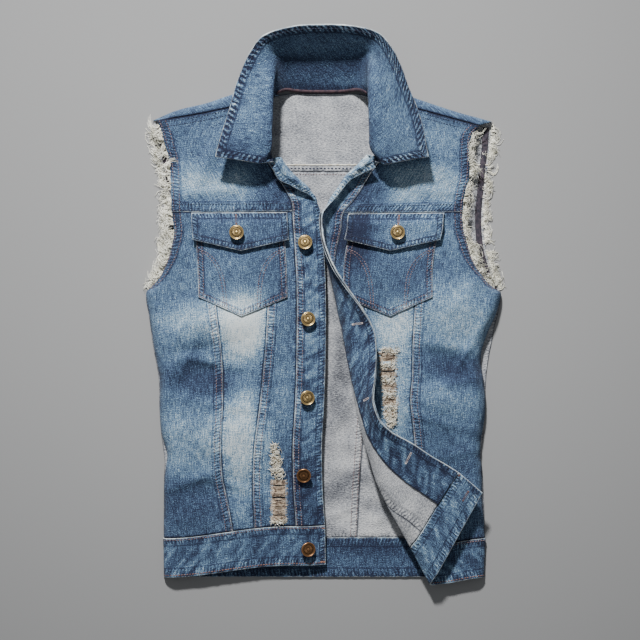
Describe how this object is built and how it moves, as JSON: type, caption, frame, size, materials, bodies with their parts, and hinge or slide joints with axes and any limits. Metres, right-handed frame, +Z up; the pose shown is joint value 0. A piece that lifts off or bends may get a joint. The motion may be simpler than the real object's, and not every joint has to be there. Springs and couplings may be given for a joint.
{
  "type": "denim vest",
  "caption": "Sleeveless denim vest laid flat on its back, front open and turned over on one side, with flap pockets, metal buttons and frayed armholes.",
  "frame": {"origin": "middle of the plan outline, on the surface that the vest lies on", "axes": "+X towards the wearer's left, +Y from the hem to the collar, +Z up from the surface"},
  "size_m": [0.4738, 0.7262, 0.0549],
  "materials": {
    "denim_faded": "washed twill, faded in the middle of each panel",
    "denim_worn": "washed twill with pale worn edges",
    "denim_dark": "less washed twill",
    "denim_inside": "pale reverse side of the twill",
    "fringe_yarn": "loose undyed cotton yarn",
    "button_metal": "antique brass with a bright rim"
  },
  "bodies": {
    "root": {"back_yoke": "denim_inside", "back_centre": "denim_inside", "back_side_right": "denim_inside", "back_side_left": "denim_inside", "back_waistband": "denim_inside", "front_centre_right": "denim_faded", "front_middle_right": "denim_faded", "front_side_right": "denim_faded", "front_yoke_right": "denim_faded", "placket_right": "denim_worn", "waistband_right": "denim_dark", "pocket_right": "denim_worn", "flap_right": "denim_worn", "fringe_front_right": "fringe_yarn", "fringe_back_right": "fringe_yarn", "front_centre_left": "denim_faded", "front_middle_left": "denim_faded", "front_side_left": "denim_faded", "front_yoke_left": "denim_faded", "placket_left": "denim_worn", "waistband_left": "denim_dark", "pocket_left": "denim_worn", "flap_left": "denim_worn", "fringe_front_left": "fringe_yarn", "fringe_back_left": "fringe_yarn", "facing_left": "denim_dark", "collar": "denim_dark", "button_1": "button_metal", "button_2": "button_metal", "button_3": "button_metal", "button_4": "button_metal", "button_5": "button_metal", "button_flap_right": "button_metal", "button_flap_left": "button_metal"}
  },
  "joints": []
}
